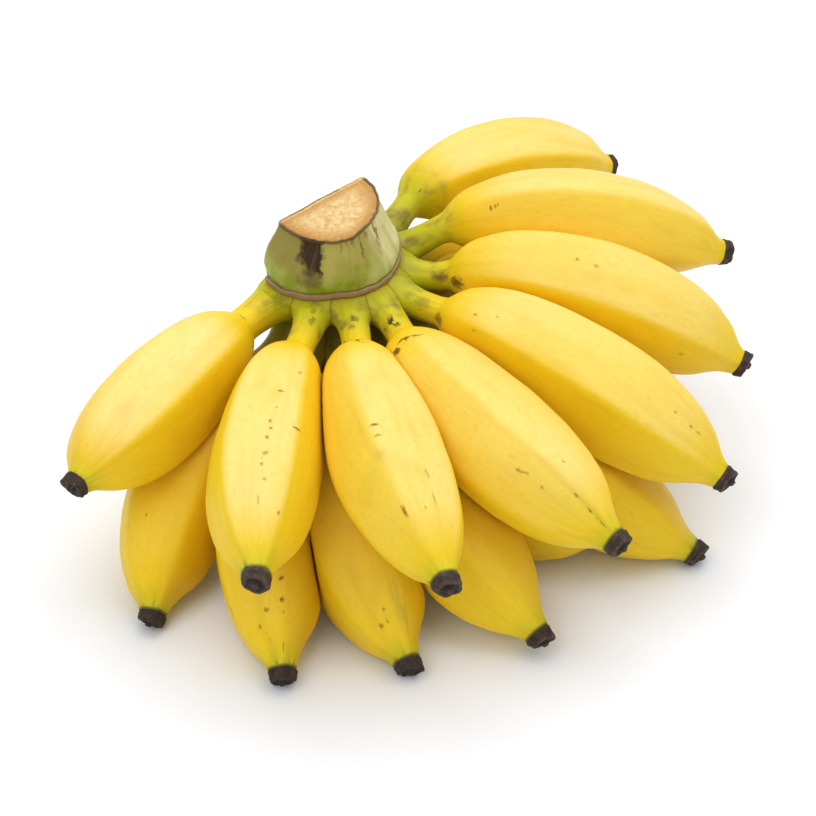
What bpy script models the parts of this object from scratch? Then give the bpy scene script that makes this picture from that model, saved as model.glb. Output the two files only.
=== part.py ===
"""A hand of baby bananas, standing on its lower fingers like an open umbrella.

Seventeen fingers grow in two rows round one half of a cut stalk. Each finger is a bent, five-ridged
fruit with its own stalk and a dried blossom end. The crown is the piece of stalk that holds them.
Metres, +Z up. The origin is on the surface that the hand stands on, below the middle of its box.
A heading is an angle about +Z: 0 is towards -Y, the front, and 90 is towards +X.
"""

import math

import bmesh
import bpy
from mathutils import Matrix, Vector

MM = 0.001

# The crown: its ring is the scar of the leaf that once covered the flowers.
RING_CENTRE = Vector((-0.029, 0.027, 0.070))
CROWN_AXIS = Vector((-0.02, -0.17, 0.98)).normalized()
CROWN_HEADING = 38  # of the middle of the round side; the flat side faces the other way
RING_RADIUS = 0.0245
CUT_RADIUS = 0.0172
CUT_HEIGHT = 0.0215  # of the sawn face above the ring
FLAT_SIDE = 0.0025  # how far the flat side lies behind the axis
CROWN_DEPTH = 0.030  # of the cushion below the ring
CROWN_SIDES = 40

# Two rows of fingers leave the crown below the ring.
ROOTS = {
    "upper": {"radius": 0.019, "drop": 0.008},
    "lower": {"radius": 0.015, "drop": 0.020},
}

# One finger: shares of its length from root to blossom end, and the radius there in metres.
FINGER_PROFILE = (
    (0.000, 0.0066),
    (0.050, 0.0058),
    (0.100, 0.0050),
    (0.140, 0.0047),
    (0.165, 0.0053),
    (0.190, 0.0072),
    (0.230, 0.0099),
    (0.290, 0.0128),
    (0.370, 0.0152),
    (0.470, 0.0168),
    (0.580, 0.0175),
    (0.680, 0.0171),
    (0.760, 0.0157),
    (0.830, 0.0134),
    (0.885, 0.0108),
    (0.920, 0.0085),
    (0.942, 0.0067),
    (0.955, 0.0055),
    (0.967, 0.0048),
    (0.992, 0.0040),
    (1.000, 0.0014),
)
# How far the middle of a finger is along its bow at each share of the length: the stalk stays straight.
BOW_PROFILE = (
    (0.00, 0.00),
    (0.10, 0.10),
    (0.18, 0.36),
    (0.27, 0.70),
    (0.38, 0.93),
    (0.50, 1.00),
    (0.62, 0.93),
    (0.75, 0.70),
    (0.88, 0.36),
    (1.00, 0.00),
)
# Where the rings of a finger's mesh lie, close together where its outline turns.
RING_SHARES = (
    *(0.00, 0.01, 0.07, 0.13, 0.165, 0.19, 0.22, 0.26, 0.32, 0.39, 0.46, 0.53),
    *(0.60, 0.67, 0.74, 0.80, 0.85, 0.89, 0.92, 0.945, 0.965, 0.985, 0.994, 1.00),
)
FINGER_SIDES = 16
STALK_SHARE = 0.16  # of the length, in the profile, before the fruit widens
CAP_START = 0.965  # where the dried blossom end begins
GIRTH_FROM, GIRTH_TO = 0.12, 0.95  # a finger's own girth counts between these shares of its length
GIRTH_RISE, GIRTH_FALL = 0.15, 0.10  # and grows and fades over these

# Ridges run along a finger at these angles round it, in degrees.
RIDGE_ANGLES = (0, 68, 142, 216, 288)
RIDGE_STRENGTH = 0.42  # 0 is a round section, 1 is one with five flat sides
RIDGE_ROUNDING = 0.22
RIDGES_FULL = (0.37, 0.945)  # the ridges fade away outside these shares of the length
RIDGES_GONE = (0.17, 0.965)

AHEAD = 0.01  # share of the length to each side that gives the direction of the middle line
PRESS_GAP = 0.0006  # fingers that press on each other stay this far apart
SETTLED = 0.0008  # skin this near the floor lies flat on it
PRESS_STEPS = 14  # halvings in the search for the pressed surface
NEIGHBOUR_REACH = 0.004  # only fingers nearer than this can press on each other
BALLS = 40  # along a finger, to measure how deep a point is in it
CROWN_GAP = 0.0003  # between the crown and the stalks that grow from it

# Each finger: name, headings of its root and of its tip from the ring's centre in degrees, reach of
# its tip from there and the tip's height in mm, upward arch and sideways sway of its middle in mm,
# girth against the profile, roll of its ridges in degrees, its stalk's share of the length, and its
# lean: below 1 the bow is strongest nearer the root.
UPPER_ROW = (
    ("upper_1", -46, -38, 121, 49, 0, -3, 1.01, -35, 0.19, 0.7),
    ("upper_2", -12, -7, 140, 50, 1, -5, 0.98, -34, 0.20, 1.0),
    ("upper_3", 18, 15, 146, 50, 2, -5, 1.00, 20, 0.19, 1.0),
    ("upper_4", 42, 38, 145, 42, 4, -9, 1.05, 16, 0.18, 1.0),
    ("upper_5", 62, 59, 147, 35, 11, -4, 1.05, -16, 0.175, 1.0),
    ("upper_6", 90, 78, 139, 45, 14, -2, 1.02, -5, 0.17, 1.0),
    ("upper_7", 116, 99, 137, 55, 15, 0, 0.96, 24, 0.17, 0.75),
    ("upper_8", 138, 130, 131, 51, 8, 9, 0.94, -16, 0.14, 0.9),
)
LOWER_ROW = (
    ("lower_1", -44, -27, 118, 3, 3, -9, 1.02, -38, 0.18, 1.0),
    ("lower_2", -12, -5, 131, 3, 3, -9, 1.02, -16, 0.18, 1.0),
    ("lower_3", 6, 12, 129, 3, 3, -10, 1.04, -17, 0.18, 1.0),
    ("lower_4", 28, 30, 135, 6, 3, -10, 1.08, 30, 0.18, 1.0),
    ("lower_5", 43, 47, 120, 17, -15, -9, 0.94, 0, 0.16, 1.0),
    ("lower_6", 58, 58, 141, 3, 4, -11, 1.06, 20, 0.16, 1.0),
    ("lower_7", 80, 80, 115, 3, 14, 0, 0.94, 10, 0.16, 1.0),
    ("lower_8", 104, 105, 105, 5, 14, 0, 0.94, 0, 0.16, 1.0),
    ("lower_9", 126, 130, 100, 2, 14, 0, 0.94, 20, 0.16, 1.0),
)

MATERIALS = {
    "skin": {"colour": (0.83, 0.58, 0.05, 1), "roughness": 0.45},
    "blossom_end": {"colour": (0.05, 0.03, 0.025, 1), "roughness": 0.85},
    "crown_rind": {"colour": (0.40, 0.42, 0.12, 1), "roughness": 0.6},
    "cut_flesh": {"colour": (0.72, 0.50, 0.27, 1), "roughness": 0.8},
}


def clear_scene():
    for obj in list(bpy.data.objects):
        bpy.data.objects.remove(obj)


def new_collection(name):
    collection = bpy.data.collections.new(name)
    bpy.context.scene.collection.children.link(collection)
    return collection


def new_material(name):
    material = bpy.data.materials.new(name)
    material.use_nodes = True
    shader = material.node_tree.nodes["Principled BSDF"]
    shader.inputs["Base Color"].default_value = MATERIALS[name]["colour"]
    shader.inputs["Roughness"].default_value = MATERIALS[name]["roughness"]
    return material


def new_object(name, bm, collection, materials):
    mesh = bpy.data.meshes.new(name)
    bm.to_mesh(mesh)
    bm.free()
    for material in materials:
        mesh.materials.append(material)
    obj = bpy.data.objects.new(name, mesh)
    collection.objects.link(obj)
    return obj


def heading_vector(degrees):
    angle = math.radians(degrees)
    return Vector((math.sin(angle), -math.cos(angle), 0))


def clamped(value, low=0.0, high=1.0):
    return min(max(value, low), high)


def profile_value(stations, at):
    """The value at a share, on a smooth curve through the stations that doesn't overshoot them."""
    last = len(stations) - 1
    k = next(i for i in range(last) if at <= stations[i + 1][0] or i == last - 1)

    def slope(i):
        if i in (0, last):
            return 0.0
        before = (stations[i][1] - stations[i - 1][1]) / (stations[i][0] - stations[i - 1][0])
        after = (stations[i + 1][1] - stations[i][1]) / (stations[i + 1][0] - stations[i][0])
        return 0.0 if before * after <= 0 else 2 * before * after / (before + after)

    (start, low), (end, high) = stations[k], stations[k + 1]
    width = end - start
    t = (at - start) / width
    return (
        low * (1 + 2 * t) * (1 - t) ** 2
        + slope(k) * width * t * (1 - t) ** 2
        + high * t * t * (3 - 2 * t)
        + slope(k + 1) * width * t * t * (t - 1)
    )


def ridge_factor(angle, strength):
    """The radius at this angle round a five-ridged section, against its mean radius."""
    degrees = math.degrees(angle) % 360
    corners = [*RIDGE_ANGLES, 360 + RIDGE_ANGLES[0]]
    low, high = next(pair for pair in zip(corners, corners[1:]) if pair[0] <= degrees < pair[1])
    half = (high - low) / 2
    off_corner = 1 - abs(degrees - low - half) / half
    off_corner = clamped(math.hypot(off_corner, RIDGE_ROUNDING))
    flat_middle = math.cos(math.radians(half))
    across = flat_middle / math.cos(math.radians(half * (1 - off_corner)))
    return 1 + strength * (across - (1 + flat_middle) / 2)


class Finger:
    """The line and the radii of one finger, before it presses on the others."""

    def __init__(self, row, root_heading, tip_heading, reach, tip_height, arch, sway, *build):
        girth, roll, stalk, lean = build
        root = ROOTS[row]
        self.root = RING_CENTRE + heading_vector(root_heading) * root["radius"] - CROWN_AXIS * root["drop"]
        self.tip = RING_CENTRE + heading_vector(tip_heading) * reach * MM
        self.tip.z = tip_height * MM
        chord = (self.tip - self.root).normalized()
        side = Vector((0, 0, 1)).cross(chord).normalized()
        self.lift = chord.cross(side).normalized()
        self.bow = self.lift * arch * MM + side * sway * MM
        self.girth, self.stalk, self.lean, self.roll = girth, stalk, lean, math.radians(roll)
        self.balls = [(self.centre(k / BALLS), self.radius(k / BALLS)) for k in range(BALLS + 1)]

    def centre(self, share):
        bowed = profile_value(BOW_PROFILE, clamped(share) ** self.lean)
        return self.root.lerp(self.tip, share) + self.bow * bowed

    def radius(self, share):
        if share < self.stalk:
            in_profile = share * STALK_SHARE / self.stalk
        else:
            in_profile = 1 - (1 - share) * (1 - STALK_SHARE) / (1 - self.stalk)
        fruit = clamped((share - GIRTH_FROM) / GIRTH_RISE) * clamped((GIRTH_TO - share) / GIRTH_FALL)
        return profile_value(FINGER_PROFILE, in_profile) * (1 + (self.girth - 1) * fruit)

    def skin_point(self, share, angle):
        """A point of the middle line, and the skin point that stands out from it at this angle."""
        along = (self.centre(share + AHEAD) - self.centre(share - AHEAD)).normalized()
        first = (self.lift - along * self.lift.dot(along)).normalized()
        second = along.cross(first)
        ridges = clamped((share - RIDGES_GONE[0]) / (RIDGES_FULL[0] - RIDGES_GONE[0]))
        ridges *= clamped((RIDGES_GONE[1] - share) / (RIDGES_GONE[1] - RIDGES_FULL[1]))
        radius = self.radius(share) * ridge_factor(angle - self.roll, RIDGE_STRENGTH * ridges)
        middle = self.centre(share)
        return middle, middle + (first * math.cos(angle) + second * math.sin(angle)) * radius

    def outside(self, point):
        """About how far a point is outside the skin, negative inside."""
        return min((point - centre).length - radius for centre, radius in self.balls)

    def near(self, other):
        pairs = ((a, b) for a in self.balls for b in other.balls)
        return min((a[0] - b[0]).length - a[1] - b[1] for a, b in pairs) < NEIGHBOUR_REACH

    def pressed(self, middle, point, others):
        """Moves a skin point towards the middle line until it is clear of the others and of the floor."""

        def clear(candidate):
            own = self.outside(candidate)
            return all(other.outside(candidate) - own >= PRESS_GAP for other in others)

        if not clear(point):
            inner, outer = 0.0, 1.0
            for _ in range(PRESS_STEPS):
                half = (inner + outer) / 2
                if clear(middle.lerp(point, half)):
                    inner = half
                else:
                    outer = half
            point = middle.lerp(point, inner)
        if point.z < SETTLED:
            point.z = 0.0
        return point


def build_finger(name, finger, others, collection, materials):
    last = len(RING_SHARES) - 1
    bm = bmesh.new()
    bmesh.ops.create_uvsphere(bm, u_segments=FINGER_SIDES, v_segments=last, radius=1)
    for vert in bm.verts:
        share = RING_SHARES[round((1 - math.acos(clamped(vert.co.z, -1, 1)) / math.pi) * last)]
        if share in (0, 1):
            vert.co = finger.centre(share)
        else:
            vert.co = finger.pressed(*finger.skin_point(share, math.atan2(vert.co.y, vert.co.x)), others)
    bmesh.ops.recalc_face_normals(bm, faces=bm.faces)
    cap_start = finger.centre(CAP_START)
    for face in bm.faces:
        face.smooth = True
        if (face.calc_center_median() - cap_start).dot(finger.tip - cap_start) > 0:
            face.material_index = 1
    return new_object(name, bm, collection, materials)


def crown_outline(extra):
    """Radius and height above the ring, from the cut face down to the bottom of the cushion."""
    return (
        (CUT_RADIUS + extra, CUT_HEIGHT + extra),
        (CUT_RADIUS + 0.0022 + extra, 0.0150),
        (CUT_RADIUS + 0.0044 + extra, 0.0085),
        (RING_RADIUS - 0.0010 + extra, 0.0018),
        (RING_RADIUS + 0.0004 + extra, 0.0010),
        (RING_RADIUS + 0.0004 + extra, -0.0006),
        (RING_RADIUS - 0.0012 + extra, -0.0016),
        (RING_RADIUS - 0.0022 + extra, -0.0075),
        (RING_RADIUS - 0.0045 + extra, -0.0150),
        (RING_RADIUS - 0.0080 + extra, -0.0225),
        (RING_RADIUS - 0.0135 + extra, 0.0020 - CROWN_DEPTH),
        (RING_RADIUS - 0.0200 + extra, -CROWN_DEPTH - extra),
    )


def crown_shape(extra):
    """The crown as a closed, round bmesh about its own +Z, larger all over by extra."""
    bm = bmesh.new()
    verts = [bm.verts.new((radius, 0, height)) for radius, height in crown_outline(extra)]
    edges = [bm.edges.new(pair) for pair in zip(verts, verts[1:])]
    turn = {"axis": (0, 0, 1), "cent": (0, 0, 0), "angle": 2 * math.pi}
    bmesh.ops.spin(bm, geom=verts + edges, steps=CROWN_SIDES, use_merge=True, **turn)
    bmesh.ops.holes_fill(bm, edges=[edge for edge in bm.edges if edge.is_boundary])
    return bm


def halve(bm):
    """Cuts the part behind the flat side away and closes the cut."""
    everything = bm.verts[:] + bm.edges[:] + bm.faces[:]
    plane = {"plane_co": (0, FLAT_SIDE, 0), "plane_no": (0, 1, 0)}
    cut = bmesh.ops.bisect_plane(bm, geom=everything, clear_outer=True, **plane)
    rim = [item for item in cut["geom_cut"] if isinstance(item, bmesh.types.BMEdge)]
    bmesh.ops.contextual_create(bm, geom=rim)


def crown_matrix():
    """Stands the crown on its ring's centre, leaning along its axis, with its round side on its heading."""
    side = CROWN_AXIS.cross(heading_vector(CROWN_HEADING)).normalized()
    front = side.cross(CROWN_AXIS)
    return Matrix.Translation(RING_CENTRE) @ Matrix((side, -front, CROWN_AXIS)).transposed().to_4x4()


def finish_crown(name, bm, collection, materials):
    bmesh.ops.recalc_face_normals(bm, faces=bm.faces)
    for face in bm.faces:
        flat = max(face.normal.y, face.normal.z) > 0.99
        face.smooth = not flat
        face.material_index = int(flat)
    bm.transform(crown_matrix())
    return new_object(name, bm, collection, materials)


def main():
    clear_scene()
    hand = new_collection("banana_hand")
    cutters = new_collection("cutters")
    skin, blossom_end, rind, flesh = (new_material(name) for name in MATERIALS)

    crown = crown_shape(0.0)
    halve(crown)
    finish_crown("crown", crown, hand, (rind, flesh))
    clearance = finish_crown("crown_clearance", crown_shape(CROWN_GAP), cutters, (rind, rind))
    clearance.hide_render = True
    clearance.display_type = "WIRE"

    fingers = {name: Finger("upper", *values) for name, *values in UPPER_ROW}
    fingers.update({name: Finger("lower", *values) for name, *values in LOWER_ROW})
    for name, finger in fingers.items():
        others = [other for other in fingers.values() if other is not finger and finger.near(other)]
        obj = build_finger(name, finger, others, hand, (skin, blossom_end))
        trim = obj.modifiers.new("clear_of_crown", "BOOLEAN")
        trim.operation = "DIFFERENCE"
        trim.solver = "EXACT"
        trim.object = clearance


main()
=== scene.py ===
import math

import bmesh
import bpy
import numpy as np
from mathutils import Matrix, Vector, noise


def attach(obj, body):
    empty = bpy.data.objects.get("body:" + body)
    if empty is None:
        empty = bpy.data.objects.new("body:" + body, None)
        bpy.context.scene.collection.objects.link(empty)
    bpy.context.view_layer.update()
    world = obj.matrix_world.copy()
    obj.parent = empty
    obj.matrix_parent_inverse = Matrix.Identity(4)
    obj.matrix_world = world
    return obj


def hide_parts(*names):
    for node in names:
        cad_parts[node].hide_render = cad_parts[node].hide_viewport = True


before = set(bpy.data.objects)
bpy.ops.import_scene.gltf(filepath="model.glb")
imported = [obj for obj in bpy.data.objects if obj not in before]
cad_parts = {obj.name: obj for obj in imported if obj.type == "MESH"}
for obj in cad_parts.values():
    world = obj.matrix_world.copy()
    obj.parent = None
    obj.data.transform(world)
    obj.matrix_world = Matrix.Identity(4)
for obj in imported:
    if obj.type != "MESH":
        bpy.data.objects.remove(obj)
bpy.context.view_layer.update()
mm = 0.001
print("frame loaded:", len(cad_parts), "nodes")

# the same lines and sizes as the solids, in millimetres and degrees
hand = {
    "ringCentre": (-29, 27, 70),
    "crownAxis": (-0.02, -0.17, 0.98),
    "crownHeading": 38,
    "rootRadius": {"upper": 19, "lower": 15},
    "rootDrop": {"upper": 8, "lower": 20},
}
# root heading, tip heading, reach, tip height, arch, sway, girth, roll, stalk, lean
fingerRows = {
    "upper_1": (-46, -38, 121, 49, -1, -3, 1.01, -50, 0.188, 0.7),
    "upper_2": (-12, -7, 140, 50, 1, -5, 0.98, -34, 0.20, 1.0),
    "upper_3": (18, 15, 146, 50, 2, -5, 1.00, 20, 0.19, 1.0),
    "upper_4": (42, 38, 145, 42, 4, -9, 1.05, 16, 0.19, 1.0),
    "upper_5": (62, 59, 147, 35, 11, -4, 1.05, -16, 0.19, 1.0),
    "upper_6": (90, 78, 139, 45, 14, -2, 1.02, -5, 0.17, 1.0),
    "upper_7": (116, 99, 137, 55, 15, 0, 0.96, 24, 0.17, 0.75),
    "upper_8": (138, 130, 131, 51, 9, 9, 0.94, -16, 0.185, 0.8),
    "lower_1": (-44, -27, 118, 3, 3, -9, 1.02, -38, 0.18, 1.0),
    "lower_2": (-12, -5, 131, 3, 3, -9, 1.02, -16, 0.18, 1.0),
    "lower_3": (6, 12, 129, 3, 3, -10, 1.04, -17, 0.18, 1.0),
    "lower_4": (28, 30, 135, 6, 3, -10, 1.08, 30, 0.18, 1.0),
    "lower_5": (43, 47, 120, 17, -15, -9, 0.94, 0, 0.16, 1.0),
    "lower_6": (58, 58, 141, 3, 4, -11, 1.06, 20, 0.16, 1.0),
    "lower_7": (80, 80, 115, 3, 14, 0, 0.94, 10, 0.16, 1.0),
    "lower_8": (104, 105, 105, 5, 14, 0, 0.94, 0, 0.16, 1.0),
    "lower_9": (126, 130, 100, 2, 14, 0, 0.94, 20, 0.16, 1.0),
}
# how much thicker a stalk is than the others
stoutStalks = {"upper_1": 1.22}
fingerShape = {
    # share of the length, radius
    "profile": (
        (0.000, 6.6), (0.050, 5.8), (0.100, 5.0), (0.140, 4.7), (0.165, 5.2), (0.190, 7.4),
        (0.230, 10.6), (0.290, 13.3), (0.370, 15.4), (0.470, 16.8), (0.580, 17.5), (0.680, 17.1),
        (0.760, 15.7), (0.830, 13.4), (0.885, 10.2), (0.915, 7.6), (0.937, 5.7), (0.955, 4.7),
        (0.967, 4.4), (0.992, 3.8), (1.000, 1.4),
    ),
    # share of the length, share of the bow
    "bow": (
        (0.00, 0.00), (0.10, 0.10), (0.18, 0.36), (0.27, 0.70), (0.38, 0.93),
        (0.50, 1.00), (0.62, 0.93), (0.75, 0.70), (0.88, 0.36), (1.00, 0.00),
    ),
    "stalkShare": 0.16,
    "capStart": 0.967,
    "capEnd": 1.004,
    "ridgeAngles": (0, 68, 142, 216, 288),
    "ridgeStrength": 0.72,
    "ridgeRounding": 0.09,
    "sides": 80,
    "stalkRings": 34,
    "fruitRings": 78,
    "pressGap": 0.3,
    "pressSoftness": 0.03,
    # mm within which another finger is looked at
    "nearby": 6,
    # mm of the radius that patterns and marks are measured on
    "evenRadius": 17,
    # mm that the root may widen, that the body is uneven, and that a tip keeps from the floor
    "flare": 5.5,
    "uneven": 0.28,
    "fine": 0.05,
    "floorGap": 0.8,
}
# the dried end past the skin: share of its length, radius in mm
capOutline = (
    (0.00, 4.25), (0.03, 4.20), (0.07, 4.35), (0.14, 4.40), (0.24, 4.30), (0.36, 4.15),
    (0.48, 4.10), (0.58, 4.10), (0.66, 4.00), (0.71, 3.80), (0.735, 3.50), (0.73, 3.10),
    (0.68, 2.75), (0.62, 2.4), (0.58, 2.05), (0.60, 1.7), (0.68, 1.45), (0.79, 1.25),
    (0.90, 1.05), (0.97, 0.8), (1.00, 0.4),
)


def unit(vector):
    return vector / np.linalg.norm(vector, axis=-1, keepdims=True)


def headingVector(degrees):
    angle = math.radians(degrees)
    return np.array((math.sin(angle), -math.cos(angle), 0.0))


def ramp(value, start, end):
    # 0 before start, 1 past end, smooth between; start may be the larger
    t = np.clip((value - start) / (end - start), 0, 1)
    return t * t * (3 - 2 * t)


def smoothCurve(stations, at):
    # passes through the stations and never overshoots them
    places, levels = np.array(stations, float).T
    width = np.diff(places)
    rise = np.diff(levels) / width
    slopes = np.zeros(len(places))
    product = rise[:-1] * rise[1:]
    total = rise[:-1] + rise[1:]
    slopes[1:-1] = np.where(product > 0, 2 * product / np.where(product > 0, total, 1), 0)
    at = np.clip(at, places[0], places[-1])
    k = np.clip(np.searchsorted(places, at) - 1, 0, len(width) - 1)
    t = (at - places[k]) / width[k]
    start = levels[k] * (1 + 2 * t) * (1 - t) ** 2 + slopes[k] * width[k] * t * (1 - t) ** 2
    return start + levels[k + 1] * t * t * (3 - 2 * t) + slopes[k + 1] * width[k] * t * t * (t - 1)


def roughness(points, size, seed=0.0, octaves=3):
    # organic unevenness between about -1 and 1, features of about this size in mm
    shift = Vector((seed * 17.3, seed * 5.1, seed * 9.7))
    scaled = [Vector(point) / size + shift for point in points]
    return np.array([noise.fractal(p, 1.0, 2.0, octaves) for p in scaled])


def roundThe(angle, radius, height):
    return np.stack([np.cos(angle) * radius, np.sin(angle) * radius, height], axis=-1)


ringCentre = np.array(hand["ringCentre"], float)
crownAxis = unit(np.array(hand["crownAxis"], float))
crownSide = unit(np.cross(crownAxis, headingVector(hand["crownHeading"])))
crownBack = -np.cross(crownSide, crownAxis)


def centreOf(finger, share):
    share = np.asarray(share, float)[..., None]
    straight = finger["root"] + (finger["tip"] - finger["root"]) * share
    bent = np.clip(share, 0, 1) ** finger["lean"]
    return straight + finger["bow"] * smoothCurve(fingerShape["bow"], bent)


def profileShare(finger, share):
    stalk, inProfile = finger["stalk"], fingerShape["stalkShare"]
    past = 1 - (1 - share) * (1 - inProfile) / (1 - stalk)
    return np.where(share < stalk, share * inProfile / stalk, past)


def radiusOf(finger, share):
    fruit = np.clip((share - 0.12) / 0.15, 0, 1) * np.clip((0.95 - share) / 0.10, 0, 1)
    stalk = np.clip((0.235 - share) / 0.07, 0, 1)
    base = smoothCurve(fingerShape["profile"], profileShare(finger, share))
    return base * (1 + (finger["girth"] - 1) * fruit + (finger["stout"] - 1) * stalk)


def layOut(name, values):
    row = name.split("_")[0]
    rootHeading, tipHeading, reach, tipHeight, arch, sway, girth, roll, stalk, lean = values
    root = ringCentre + headingVector(rootHeading) * hand["rootRadius"][row]
    root = root - crownAxis * hand["rootDrop"][row]
    tip = ringCentre + headingVector(tipHeading) * reach
    tip[2] = tipHeight
    chord = unit(tip - root)
    side = unit(np.cross((0, 0, 1), chord))
    lift = unit(np.cross(chord, side))
    finger = {"name": name, "root": root, "tip": tip, "lift": lift, "girth": girth, "lean": lean}
    finger.update(bow=lift * arch + side * sway, roll=math.radians(roll), stalk=stalk)
    finger["stout"] = stoutStalks.get(name, 1)
    finger["length"] = float(np.linalg.norm(tip - root))
    shares = np.linspace(0, 0.985, 28)
    finger["line"], finger["girths"] = centreOf(finger, shares), radiusOf(finger, shares)
    steps, growth = np.diff(finger["line"], axis=0), np.diff(finger["girths"])
    finger["segments"] = list(zip(finger["line"], steps, finger["girths"], growth))
    return finger


def outsideOf(finger, points):
    # about how far the points are outside the finger's round body, negative inside
    nearest = np.full(len(points), 1e3)
    x, y, z = points.T
    for start, step, girth, growth in finger["segments"]:
        dx, dy, dz = x - start[0], y - start[1], z - start[2]
        t = (dx * step[0] + dy * step[1] + dz * step[2]) / (step @ step)
        t = np.minimum(np.maximum(t, 0), 1)
        dx, dy, dz = dx - t * step[0], dy - t * step[1], dz - t * step[2]
        gap = np.sqrt(dx * dx + dy * dy + dz * dz) - girth - t * growth
        np.minimum(nearest, gap, out=nearest)
    return nearest


def isNear(other, finger):
    return (outsideOf(other, finger["line"]) - finger["girths"]).min() < fingerShape["nearby"]


crownShape = {
    # height above the scar ring, radius
    "profile": (
        (-30.0, 4.5), (-28.0, 11.0), (-22.5, 16.5), (-15.0, 20.0), (-7.5, 22.3), (-2.0, 23.4),
        (0.0, 23.6), (4.0, 23.0), (8.5, 21.8), (15.0, 19.4), (21.5, 17.2),
    ),
    "cutHeight": 21.5,
    "flatSide": 2.5,
    "cornerRounding": 0.7,
    "middle": -7.5,
    "front": -126,
    "sides": 220,
    "ringBand": 0.85,
    "ringProud": 0.5,
    "ringLower": -1.2,
    "ringRise": 2.3,
    # mm that the left side bulges, the right side is drawn in, and the top leans to the front left
    "bulge": 2.2,
    "drawnIn": 0.9,
    "frontLeft": 1.7,
    "cutRings": 28,
}


def crownLocal(points):
    off = points - ringCentre
    return np.stack([off @ crownSide, off @ crownBack, off @ crownAxis], axis=-1)


def ringLine(facing):
    # height of the scar ring by degrees from the front, where it rises
    return crownShape["ringRise"] * np.exp(-(((facing + 8) / 50) ** 2))


def facingOf(x, y):
    angle = np.degrees(np.arctan2(y - crownShape["middle"], x))
    return (angle - crownShape["front"] + 180) % 360 - 180


def outsideOfCrown(points):
    local = crownLocal(points)
    around = np.hypot(local[:, 0], local[:, 1]) - smoothCurve(crownShape["profile"], local[:, 2])
    flat = local[:, 1] - crownShape["flatSide"]
    ends = np.maximum(local[:, 2] - crownShape["cutHeight"], -30 - local[:, 2])
    return np.maximum(np.maximum(around, flat), ends)


def grownTogether(points, ownGap, family):
    # the skin of stalks and crown where they merge; the merging fades away from the crown
    local = crownLocal(points)
    reach = np.hypot(local[:, 0], local[:, 1])
    below = local[:, 2] - ringLine(facingOf(local[:, 0], local[:, 1]))
    softness = 0.05 + 1.5 * ramp(reach, 38, 26) * ramp(below, -0.8, -3.0)
    gaps = [ownGap, outsideOfCrown(points), *(outsideOf(member, points) for member in family)]
    return -softness * np.log(sum(np.exp(-np.clip(gap / softness, -40, 40)) for gap in gaps))


def ridgeProfile(angle, strength, roll):
    # radius factor of a five-ridged section, nearness to a ridge, and how far the facet faces up
    def facetTone(degrees):
        return np.clip(np.cos(np.radians(degrees) + roll), 0, 1)

    degrees = np.degrees(angle) % 360
    corners = np.array([*fingerShape["ridgeAngles"], 360 + fingerShape["ridgeAngles"][0]])
    k = np.searchsorted(corners, degrees, side="right") - 1
    half = (corners[k + 1] - corners[k]) / 2
    away = 1 - np.abs(degrees - corners[k] - half) / half
    rounded = np.clip(np.hypot(away, fingerShape["ridgeRounding"]), 0, 1)
    flat = np.cos(np.radians(half))
    across = flat / np.cos(np.radians(half * (1 - rounded)))
    middles = corners[:-1] + np.diff(corners) / 2
    beside = np.where(degrees - corners[k] < half, k - 1, k + 1) % len(middles)
    share = 0.5 + 0.5 * ramp(away, 0, 0.16)
    toward = share * facetTone(middles[k]) + (1 - share) * facetTone(middles[beside])
    return 1 + strength * (across - (1 + flat) / 2), np.clip(1 - away * 4, 0, 1), toward


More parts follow.
